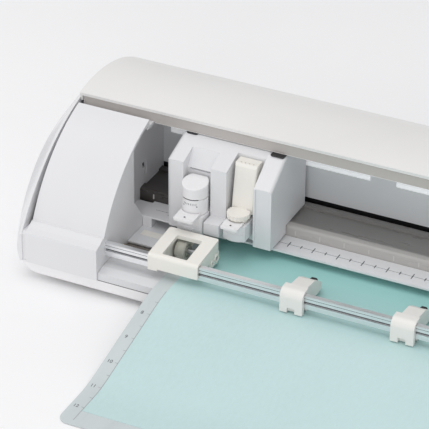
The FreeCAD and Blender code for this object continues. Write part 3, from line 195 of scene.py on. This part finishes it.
def brushed(name, hex_colour, rough=0.3, along=(1.0, 60.0, 60.0), depth=0.00003, **fixed):
    """Metal with fine lines along one direction and faint handling marks."""
    m = Maker(name)
    base = linear(hex_colour)
    lines = m.noise(60.0, 5.0, along, 0.7)
    colour = m.ramp(lines, [(0.2, shade(base, -0.16)), (0.5, base), (0.85, shade(base, 0.10))])
    smear = m.spread(m.noise(24.0, 4.0), rough - 0.06, rough + 0.10)
    return m.finish(colour, smear, m.bump(lines, depth, 0.5), Metallic=1.0, **fixed)


def gritty(name, hex_colour):
    """Grit-blasted roller face: hard bright grains on darker metal."""
    m = Maker(name)
    base = linear(hex_colour)
    cells = m.tree.nodes.new("ShaderNodeTexVoronoi")
    cells.inputs["Scale"].default_value = 1400.0
    m.link(m.place, cells.inputs["Vector"])
    grain = cells.outputs["Distance"]
    colour = m.ramp(grain, [(0.05, shade(base, 0.6)), (0.35, base), (0.8, shade(base, -0.45))])
    gloss = m.spread(m.noise(300.0, 3.0), 0.45, 0.7)
    return m.finish(colour, gloss, m.bump(grain, 0.00015, 0.8), Metallic=0.75)


def rubber(name, hex_colour, rough=0.72):
    """Ground rubber: matt, with fine pits and dusty patches."""
    m = Maker(name)
    base = linear(hex_colour)
    dust = m.noise(70.0, 6.0, rough=0.65)
    colour = m.ramp(dust, [(0.3, shade(base, -0.15)), (0.55, base), (0.8, shade(base, 0.22))])
    pits = m.noise(1800.0, 3.0)
    return m.finish(colour, m.spread(dust, rough - 0.08, rough + 0.12), m.bump(pits, 0.0001, 0.7))


RAIL_HIGHLIGHT_EDGE = 0.006         # depth of the rail's front edge painted pale as a highlight, metres
RAIL_END_SHADE = (0.036, 0.044)  # where the painted shade at the rail's parked end fades out


def rail_paint(name, front, trough, end):
    """Satin paint on the rail: a pale painted highlight on the front edge, the rail's own darker grey in the
    trough, and painted shade, darkest at the parked end.
    """
    m = Maker(name)
    split = m.tree.nodes.new("ShaderNodeSeparateXYZ")
    m.link(m.place, split.inputs[0])
    rail_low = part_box("carriage_rail")[0]
    trough_y = rail_low[1] + RAIL_HIGHLIGHT_EDGE
    # The front edge is painted pale as a highlight; the trough keeps the rail's own grey.
    across = m.between(split.outputs["Y"], trough_y - 0.001, trough_y + 0.001)
    # Painted shade: the rail darkens towards its parked end.
    along = m.between(split.outputs["X"], *(rail_low[0] + reach for reach in RAIL_END_SHADE))
    body = m.ramp(across, [(0.0, linear(front)), (1.0, linear(trough))])
    colour = m.blend(along, linear(end), body)
    worn = m.noise(80.0, 5.0, (0.3, 1.0, 1.0), 0.6)
    return m.finish(colour, m.spread(worn, 0.24, 0.36), m.bump(worn, 0.00002, 0.3))


CARD_SHADE_FADE = (0.12, 0.21)        # where painted shade deepens the card's tint towards the machine, metres from its front edge


def card_stock(name, hex_colour, shaded_colour):
    """Coated card: fibre flecks, soft clouding, a low nap, and painted shade deepening the tint towards the
    machine.
    """
    m = Maker(name)
    base, deep = linear(hex_colour), linear(shaded_colour)
    fibre = m.noise(420.0, 6.0, (1.0, 0.35, 1.0), 0.7)
    cloud = m.noise(7.0, 3.0)
    mix = m.tree.nodes.new("ShaderNodeMath")
    mix.operation = "MULTIPLY_ADD"
    mix.inputs[1].default_value = 0.55
    m.link(fibre, mix.inputs[0])
    half = m.tree.nodes.new("ShaderNodeMath")
    half.operation = "MULTIPLY"
    half.inputs[1].default_value = 0.45
    m.link(cloud, half.inputs[0])
    m.link(half.outputs[0], mix.inputs[2])
    pale = m.ramp(mix.outputs[0], [(0.3, shade(base, -0.05)), (0.5, base), (0.72, shade(base, 0.04))])
    split = m.tree.nodes.new("ShaderNodeSeparateXYZ")
    m.link(m.place, split.inputs[0])
    sheet_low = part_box("material_sheet")[0]
    # depth here is the mask of painted shade, rising towards the machine.
    depth = m.between(split.outputs["Y"], *(sheet_low[1] + reach for reach in CARD_SHADE_FADE))
    colour = m.blend(depth, pale, deep)
    return m.finish(colour, m.spread(fibre, 0.62, 0.78), m.bump(fibre, 0.00006, 0.5))


def film(name, hex_colour):
    """Mat film: pale plastic with a dimpled tacky coat and light cutter scuffs."""
    m = Maker(name)
    base = linear(hex_colour)
    scuffs = m.noise(40.0, 8.0, (1.0, 0.15, 1.0), 0.75)
    colour = m.ramp(scuffs, [(0.3, shade(base, -0.07)), (0.5, base), (0.75, shade(base, 0.04))])
    dimples = m.noise(1100.0, 2.0)
    return m.finish(colour, m.spread(scuffs, 0.32, 0.5), m.bump(dimples, 0.00006, 0.5))


WHITE = moulded("case_white", "#e3e3e5", 0.40)
LID_WHITE = moulded("lid_white", "#e9e8e6", 0.36, grain=0.00003)
TRAY = moulded("tray_white", "#f1f0f1", 0.46)
BED = moulded("bed_white", "#dcdddf", 0.38)
INNER = moulded("inner_grey", "#d8dadc", 0.55, vary=0.04)
SILL = moulded("sill_grey", "#b9b4b0", 0.34, vary=0.03)
# Rail colours: #b9b6b3 is a painted highlight, #8c8987 the rail's own grey, #4b4745 painted shade at the
# parked end.
RAIL_LIT_AND_SHADED = rail_paint("rail_highlight_and_shade", "#b9b6b3", "#8c8987", "#4b4745")
# Dark grey for painted shade in grooves and seams.
SHADE_DARK = moulded("painted_shade_grey", "#55565a", 0.6)
CREAM = moulded("cream_plastic", "#efece5", 0.42)
CLIP_WHITE = moulded("clip_white", "#ebe9e5", 0.40)
TOOL_WHITE = moulded("tool_white", "#ecebec", 0.34, grain=0.00002)
DARK = moulded("dark_plastic", "#2b2b2d", 0.5, vary=0.10)
GLOSS_DARK = moulded("glossy_dark", "#1a1a1d", 0.12, grain=0.000005, Coat_Weight=0.6)
# The light strip's emission is a painted glow that brightens it.
GLOWING_STRIP = moulded("light_diffuser", "#f2f5f8", 0.3, vary=0.015, Emission_Color=(1.0, 1.0, 1.0, 1.0),
                   Emission_Strength=0.25)
BAR = brushed("bar_aluminium", "#eeeff0", 0.36)
RULER = moulded("ruler_white", "#e6e6e8", 0.36, vary=0.02)
STEEL = brushed("steel_parts", "#b5b6b8", 0.34, (40.0, 40.0, 1.0))
SCREW = brushed("screw_steel", "#8b8c90", 0.4, (30.0, 30.0, 30.0))
BRASS = brushed("bush_brass", "#b8954f", 0.38, (30.0, 4.0, 30.0))
GRIT = gritty("grit_roller", "#8d867d")
PINCH_RUBBER = rubber("pinch_rubber", "#b9b8ae", 0.66)
BLACK_RUBBER = rubber("black_rubber", "#26262a")
BELT = rubber("belt_rubber", "#1d1d1f", 0.6)
BOARD = moulded("board_green", "#1f6b3c", 0.35, vary=0.15, Coat_Weight=0.3)
MAT = film("mat_film", "#cbd3d4")
# a3d7d3 is the card's colour under painted shade near the machine.
CARD = card_stock("sheet_card", "#c4dddd", "#a3d7d3")
PRINT = moulded("print_ink", "#54585e", 0.6, grain=0.00001)
PRINT_FAINT = moulded("faint_ink", "#9b9ea2", 0.6, grain=0.00001)
# Pale paint for the reflected ticks on the rail's front face.
PALE_REFLECTION = moulded("pale_reflection_paint", "#c9c6c3", 0.5, grain=0.00001)

LOOKS = {
    "base_tray": TRAY, "rubber_feet": BLACK_RUBBER, "case_screws": SCREW,
    "left_front_cover": WHITE, "right_front_cover": WHITE, "left_end_cap": WHITE, "right_end_cap": WHITE,
    "top_cover": WHITE, "rear_cover": WHITE, "usb_socket": STEEL, "power_inlet": DARK,
    "touch_panel": GLOSS_DARK, "power_button": WHITE, "left_inner_wall": WHITE, "right_inner_wall": WHITE,
    "roller_bushes": BRASS, "front_bed": BED, "platen": BED, "cutting_strip": CREAM,
    "ruler_strip": RULER, "carriage_rail": RAIL_LIT_AND_SHADED, "back_wall_panel": INNER, "light_strip": GLOWING_STRIP,
    "pinch_bar": BAR, "drive_roller": GRIT, "drive_gear": DARK, "motor_pinion": BRASS, "feed_motor": STEEL,
    "carriage_belt": BELT, "motor_pulley": DARK, "idler_pulley": DARK, "idler_bracket": STEEL,
    "carriage_motor": STEEL, "control_board": BOARD, "carriage_housing": WHITE, "carriage_side_panel": WHITE,
    "carriage_frame": STEEL, "carriage_glides": DARK, "tool_1_holder": WHITE, "tool_1_lock": TOOL_WHITE,
    "tool_1_barrel": TOOL_WHITE, "tool_1_cap": TOOL_WHITE, "tool_1_blade": STEEL, "tool_2_holder": WHITE,
    "tool_2_lock": TOOL_WHITE, "tool_2_module": CREAM, "tool_2_ratchet": CREAM,
    "left_pinch_frame": CREAM, "right_pinch_frame": CREAM, "left_pinch_axle": STEEL,
    "right_pinch_axle": STEEL, "left_pinch_roller": PINCH_RUBBER, "right_pinch_roller": PINCH_RUBBER,
    "clip_1": CLIP_WHITE, "clip_2": CLIP_WHITE, "clip_1_roller": BLACK_RUBBER, "clip_2_roller": BLACK_RUBBER,
    "cutting_mat": MAT, "material_sheet": CARD, "lid": LID_WHITE,
}


def dress_nodes():
    """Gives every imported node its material."""
    for name, look in LOOKS.items():
        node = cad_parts[name]
        node.data.materials.clear()
        node.data.materials.append(look)


dress_nodes()


# ---------------------------------------------------------------- fine pieces
def solid_mesh(name, points, faces, look, body):
    """Closed mesh piece riding on a body, its points in millimetres of the machine's own frame."""
    mesh = bpy.data.meshes.new(name)
    mesh.from_pydata([Vector((x, y + FRAME_Y, z)) * MM for x, y, z in points], [], faces)
    shaped = bmesh.new()
    shaped.from_mesh(mesh)
    bmesh.ops.recalc_face_normals(shaped, faces=shaped.faces)
    shaped.to_mesh(mesh)
    shaped.free()
    mesh.materials.append(look)
    piece = bpy.data.objects.new(name, mesh)
    bpy.context.scene.collection.objects.link(piece)
    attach(piece, body)


def swept(name, outline, ends, look, body):
    """Outline in the Y-Z plane carried along X from one end to the other."""
    count = len(outline)
    points = [(x, y, z) for x in ends for y, z in outline]
    sides = [(i, (i + 1) % count, (i + 1) % count + count, i + count) for i in range(count)]
    caps = [tuple(range(count)), tuple(range(2 * count - 1, count - 1, -1))]
    solid_mesh(name, points, sides + caps, look, body)


INK = 0.03                      # thickness of a printed line


def surface_spot(node, x, y, above=0.06):
    """Spot on a node's upper face under (x, y), just above it, with the face's normal."""
    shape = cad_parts[node]
    start = Vector((x, y + FRAME_Y, 200.0)) * MM
    hit, point, normal, _ = shape.ray_cast(start, Vector((0, 0, -1)))
    if not hit:
        raise RuntimeError(f"{node} has no face under {x}, {y}")
    spot = point / MM + normal * above
    return (spot.x, spot.y - FRAME_Y, spot.z), normal


def laid_number(name, number, height, place, node, look, body):
    """Printed number: thin raised text lying on a node's upper face, read from the front."""
    curve = bpy.data.curves.new(name, "FONT")
    curve.body = str(number)
    curve.size = height * MM
    curve.align_x = "CENTER"
    curve.align_y = "CENTER"
    curve.extrude = 0.00002
    curve.materials.append(look)
    text = bpy.data.objects.new(name, curve)
    (x, y, z), normal = surface_spot(node, *place)
    across = Vector((1.0, 0.0, 0.0))
    along = normal.cross(across)
    turn = Matrix((across, along, normal)).transposed().to_4x4()
    text.matrix_world = Matrix.Translation(Vector((x, y + FRAME_Y, z)) * MM) @ turn
    bpy.context.scene.collection.objects.link(text)
    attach(text, body)


def laid_line(start, end, width, node, steps=1):
    """Points and faces of a thin ribbon following a node's upper face between two spots."""
    (x0, y0), (x1, y1) = start, end
    run = Vector((x1 - x0, y1 - y0)).normalized() * (width / 2)
    top, low = [], []
    for step in range(steps + 1):
        part = step / steps
        x, y = x0 + (x1 - x0) * part, y0 + (y1 - y0) * part
        (_, _, z), _ = surface_spot(node, x, y)
        for side in (-1, 1):
            top.append((x - side * run.y, y + side * run.x, z + INK))
            low.append((x - side * run.y, y + side * run.x, z))
    count = len(top)
    faces = [(0, 1, 1 + count, count), (count - 2, 2 * count - 2, 2 * count - 1, count - 1)]
    for i in range(0, count - 2, 2):
        faces.append((i, i + 2, i + 3, i + 1))
        faces.append((i + count, i + count + 1, i + count + 3, i + count + 2))
        faces.append((i, i + count, i + count + 2, i + 2))
        faces.append((i + 1, i + 3, i + count + 3, i + count + 1))
    return top + low, faces


def joined(name, parts, look, body):
    """Several (points, faces) groups as one piece."""
    points, faces = [], []
    for group, group_faces in parts:
        shift = len(points)
        points.extend(group)
        faces.extend(tuple(i + shift for i in face) for face in group_faces)
    solid_mesh(name, points, faces, look, body)


def upright_prism(outline, low, high):
    """Outline in X-Y carried up from low to high, as points and faces."""
    count = len(outline)
    points = [(x, y, z) for z in (low, high) for x, y in outline]
    faces = [(i, (i + 1) % count, (i + 1) % count + count, i + count) for i in range(count)]
    faces += [tuple(range(count)), tuple(range(2 * count - 1, count - 1, -1))]
    return points, faces


def disc(x, y, radius, low, high, sides=20):
    """Small round print or plug."""
    angles = [2 * math.pi * i / sides for i in range(sides)]
    return upright_prism([(x + radius * math.cos(a), y + radius * math.sin(a)) for a in angles], low, high)


def arc_band(centre, radius, thick, start, end, low, high, steps=24):
    """Part of a ring round an upright axis, angles in degrees."""
    cx, cy = centre
    outline = []
    for r, order in ((radius, range(steps + 1)), (radius + thick, range(steps, -1, -1))):
        for step in order:
            angle = math.radians(start + (end - start) * step / steps)
            outline.append((cx + r * math.cos(angle), cy + r * math.sin(angle)))
    return upright_prism(outline, low, high)


def centre_of(node):
    """Middle of a node's box, in millimetres of the machine's own frame."""
    low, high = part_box(node)
    middle = [(a + b) / 2 / MM for a, b in zip(low, high)]
    return middle[0], middle[1] - FRAME_Y, middle[2]


def top_of(node):
    """Height of a node's highest point, in millimetres."""
    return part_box(node)[1][2] / MM


INCH = 25.4
MAT_LEFT = MAT_LOW[0] / MM
MAT_TWELVE_Y = -232.0           # place of the mat's number 12
FIRST_NUMBER, LAST_NUMBER = 8, 12
NUMBER_HEIGHT = 4.4
NUMBER_INSET = 4.5              # middle of the numbers from the mat's left edge
BORDER_INSET = 11.0             # border line from the mat's left edge
BORDER_ENDS = (-248.0, -104.0)
TICK_LENGTH = 2.4


def mat_print():
    """Inch numbers and border line printed along the mat's left margin."""
    for number in range(FIRST_NUMBER, LAST_NUMBER + 1):
        place = (MAT_LEFT + NUMBER_INSET, MAT_TWELVE_Y + INCH * (LAST_NUMBER - number))
        laid_number(f"mat_number_{number}", number, NUMBER_HEIGHT, place, "cutting_mat", PRINT, "mat")
    border_x = MAT_LEFT + BORDER_INSET
    lines = [laid_line((border_x, BORDER_ENDS[0]), (border_x, BORDER_ENDS[1]), 0.35, "cutting_mat", 60)]
    for half_inches in range(10):
        y = MAT_TWELVE_Y + INCH / 2 * half_inches
        lines.append(laid_line((border_x - TICK_LENGTH, y), (border_x, y), 0.3, "cutting_mat"))
    joined("mat_border", lines, PRINT_FAINT, "mat")


def oblong(x0, x1, y0, y1):
    """Corners of a rectangle in a plane, going round."""
    return [(x0, y0), (x1, y0), (x1, y1), (x0, y1)]


RULER_HALF_X = 212.0            # half the length of the ruler's printed line
RULER_LINE_Y = -16.0
RULER_STEP = 10.0               # from one tick to the next
LONG_TICK, SHORT_TICK = 3.5, 2.0


def ruler_print():
    """Scale printed on the ruler strip: a fine line with longer and shorter ticks."""
    top = top_of("ruler_strip")
    line = oblong(-RULER_HALF_X, RULER_HALF_X, RULER_LINE_Y - 0.15, RULER_LINE_Y + 0.15)
    parts = [upright_prism(line, top + 0.02, top + 0.06)]
    for step in range(-20, 21):
        x = RULER_STEP * step
        reach = LONG_TICK if step % 2 == 0 else SHORT_TICK
        tick = oblong(x - 0.35, x + 0.35, RULER_LINE_Y - reach, RULER_LINE_Y + reach)
        parts.append(upright_prism(tick, top - 0.28, top + 0.06))
    joined("ruler_print", parts, PRINT, "case")


RAIL_STEP = 20.0                # from one painted reflected tick on the rail to the next


def rail_print():
    """Pale ticks painted along the rail's grey front face as reflections of the ruler's ticks."""
    low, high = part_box("carriage_rail")
    face_y = low[1] / MM - FRAME_Y
    base, crown = low[2] / MM + 3.5, high[2] / MM - 3.0
    parts = []
    for step in range(-11, 12):
        x = RAIL_STEP * step
        parts.append(upright_prism(oblong(x - 0.5, x + 0.5, face_y - 0.12, face_y - 0.02), base, crown))
    joined("rail_print", parts, PALE_REFLECTION, "case")


BAY_HALF = 218.0                # half the width of the open bay
SILL_FACE_Y = -6.04             # front face of the top cover below the lid's edge


def sill_band():
    """Grey band along the top cover's front face, below the lid's edge, with a white lip painted as a
    highlight along its lower edge.
    """
    half_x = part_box("top_cover")[1][0] / MM - 0.3
    front = SILL_FACE_Y - 0.18
    outline = [(front, 102.7), (SILL_FACE_Y, 102.7), (SILL_FACE_Y, 110.6), (front, 110.3)]
    swept("sill_band", outline, (-half_x, half_x), SILL, "case")
    # White lip painted as the highlight along the band's lower edge.
    edge = [(-6.4, 102.3), (-5.0, 102.0), (-5.0, 102.45), (-6.0, 102.6), (-6.4, 102.6)]
    swept("sill_highlight_lip", edge, (-BAY_HALF, BAY_HALF), LID_WHITE, "case")


def carriage_pads():
    """Black glide pads on the carriage's top, just under the sill."""
    top = top_of("carriage_housing")
    for name, x0, x1, y0, y1 in (("carriage_pad_1", -190.6, -181.6, -7.6, 6.0),
                                 ("carriage_pad_2", -119.6, -108.6, -11.0, 6.0)):
        outline = [(x0, y0 + 1.0), (x0 + 1.0, y0), (x1 - 1.0, y0), (x1, y0 + 1.0), (x1, y1), (x0, y1)]
        joined(name, [upright_prism(outline, top - 0.15, top + 0.75)], DARK, "carriage")


COLUMN_TOP = 96.22              # face of tool 2's column that carries the holes' painted shade
HOLE_SPACING = 3.4


def tool_marks():
    """Slit, scale and dots on the two tools and their lock tabs; the slit and tool 2's holes are dark
    painted shade.
    """
    x, y, _ = centre_of("tool_1_blade")
    drum_low, drum_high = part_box("tool_1_barrel")
    drum_top = drum_high[2] / MM - 0.8
    drum_r = (drum_high[0] - drum_low[0]) / MM / 2
    # The slit is a dark band painted as the shade inside it.
    slit = arc_band((x, y), drum_r - 0.75, 0.7, -128, -50, drum_top + 0.1, drum_top + 0.7)
    joined("tool_1_slit_shade", [slit], DARK, "tool_1")
    ticks = [arc_band((x, y), drum_r, 0.05, turn, turn + 2.0, drum_top - 4.2, drum_top - 2.6, 2)
             for turn in range(-118, -56, 8)]
    dots = [arc_band((x, y), drum_r, 0.05, turn, turn + 5.0, drum_top - 5.6, drum_top - 4.8, 3)
            for turn in (-122, -60)]
    joined("tool_1_scale", ticks + dots, PRINT, "tool_1")
    for number in (1, 2):
        (low, high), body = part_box(f"tool_{number}_lock"), f"lock_{number}"
        tab_x = (low[0] + high[0]) / MM / 2
        tab_y = low[1] / MM - FRAME_Y + 4.0
        (_, _, z), _ = surface_spot(f"tool_{number}_lock", tab_x, tab_y)
        joined(f"lock_{number}_dot", [disc(tab_x, tab_y, 0.75, z, z + 0.06)], DARK, body)
    column_x = centre_of("tool_2_lock")[0]
    # Tool 2's holes are dark discs painted as the shade inside them.
    holes = [disc(column_x + HOLE_SPACING * (i - 1.5), -21.5, 0.48, COLUMN_TOP, COLUMN_TOP + 0.28, 12)
             for i in range(4)]
    joined("tool_2_hole_shade", holes, DARK, "tool_2")


ARC_Y, ARC_Z = 22.0, -10.0      # axis that the lid turns about
GROOVE_FLOOR = (117.6, 117.9)   # inner and outer radius of the painted shade on the groove floor
GROOVE_WIDTH = 2.4
GROOVE_START, GROOVE_SPAN = 10.0, 54.0


def lid_grooves():
    """Painted shade on the floor of the two curved grooves the lid's runners turn in."""
    cap_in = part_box("lid")[0][0] / MM
    for name, ends in (("left_groove_shade", (cap_in, cap_in + GROOVE_WIDTH)),
                       ("right_groove_shade", (-cap_in - GROOVE_WIDTH, -cap_in))):
        outline = []
        turns = [math.radians(GROOVE_START + GROOVE_SPAN * step / 40) for step in range(41)]
        for radius, order in ((GROOVE_FLOOR[0], turns), (GROOVE_FLOOR[1], turns[::-1])):
            outline += [(ARC_Y - radius * math.sin(t), ARC_Z + radius * math.cos(t)) for t in order]
        swept(name, outline, ends, SHADE_DARK, "case")


SEAM_HALF = 272.0               # half the length of the seam above the tray
SEAM_Y, SEAM_Z = (-100.16, -99.95), (14.15, 14.62)


def base_seam():
    """Painted shadow in the seam between the tray and what stands on it, along the front."""
    swept("base_seam", oblong(*SEAM_Y, *SEAM_Z), (-SEAM_HALF, SEAM_HALF), SHADE_DARK, "case")


def bar_lines():
    """Painted shadow line in the pinch bar's groove and a fine painted shade line above it."""
    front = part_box("pinch_bar")[0][1] / MM - FRAME_Y
    lines = (("bar_groove_shadow", (front + 0.85, front + 0.98), (34.3, 35.7)),
             ("bar_top_shade_line", (front - 0.04, front + 0.02), (38.3, 38.6)))
    for name, depth, height in lines:
        swept(name, oblong(*depth, *height), (-BAY_HALF, BAY_HALF), SHADE_DARK, "case")


mat_print()
ruler_print()
rail_print()
sill_band()
carriage_pads()
tool_marks()
lid_grooves()
base_seam()
bar_lines()


SOFT_EDGES = {
    "left_front_cover": 0.5, "right_front_cover": 0.5, "left_end_cap": 0.5, "right_end_cap": 0.5,
    "carriage_housing": 0.7, "carriage_side_panel": 0.8, "left_pinch_frame": 0.5, "right_pinch_frame": 0.5,
    "clip_1": 0.45, "clip_2": 0.45, "lid": 0.35, "tool_1_lock": 0.25, "tool_2_lock": 0.25,
    "tool_1_holder": 0.4, "tool_2_holder": 0.5, "pinch_bar": 0.2, "platen": 0.3, "front_bed": 0.3,
    "tool_2_module": 0.25, "left_inner_wall": 0.3, "right_inner_wall": 0.3, "base_tray": 0.4,
}


def soften():
    """Rounds the sharp edges of moulded parts by a fraction of a millimetre."""
    for name, width in SOFT_EDGES.items():
        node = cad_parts[name]
        bevel = node.modifiers.new("soft_edges", "BEVEL")
        bevel.width = width * MM
        bevel.segments = 3
        bevel.limit_method = "ANGLE"
        bevel.angle_limit = math.radians(35)
        bevel.use_clamp_overlap = True
        bevel.harden_normals = True


soften()


# ---------------------------------------------------------------- floor and light
def paper_floor():
    """Plain pale floor, part of the studio and not of the machine."""
    m = Maker("studio_floor")
    base = (0.97, 0.97, 0.975)
    colour = m.ramp(m.noise(3.0, 4.0), [(0.3, shade(base, -0.015)), (0.7, shade(base, 0.015))])
    look = m.finish(colour, m.spread(m.noise(50.0, 4.0), 0.6, 0.75))
    mesh = bpy.data.meshes.new("floor")
    reach = 6.0
    mesh.from_pydata([(-reach, -reach, 0), (reach, -reach, 0), (reach, reach, 0), (-reach, reach, 0)], [],
                     [(0, 1, 2, 3)])
    mesh.materials.append(look)
    floor = bpy.data.objects.new("floor", mesh)
    floor.location.z = -0.0002
    bpy.context.scene.collection.objects.link(floor)


def soft_light(name, place, aim, size, power):
    """Large rectangular light pointed at a spot."""
    data = bpy.data.lights.new(name, "AREA")
    data.shape = "RECTANGLE"
    data.size, data.size_y = size
    data.energy = power
    light = bpy.data.objects.new(name, data)
    light.location = place
    light.rotation_euler = (Vector(aim) - Vector(place)).to_track_quat("-Z", "Y").to_euler()
    bpy.context.scene.collection.objects.link(light)


def studio():
    """Pale surroundings, a broad light overhead and weaker ones from left and front."""
    world = bpy.data.worlds.new("studio")
    world.use_nodes = True
    shell = world.node_tree.nodes["Background"]
    shell.inputs["Color"].default_value = (0.975, 0.975, 0.985, 1.0)
    shell.inputs["Strength"].default_value = 0.64
    bpy.context.scene.world = world
    soft_light("overhead", (-0.3, -0.2, 1.8), (0.0, 0.0, 0.0), (1.6, 1.2), 10.0)
    soft_light("left_fill", (-1.8, -0.9, 0.9), (0.0, 0.0, 0.05), (1.0, 1.0), 3.0)
    soft_light("front_fill", (0.5, -2.2, 0.8), (0.0, 0.0, 0.05), (1.4, 0.9), 9.0)
    bpy.context.scene.view_settings.view_transform = "Standard"


paper_floor()
studio()
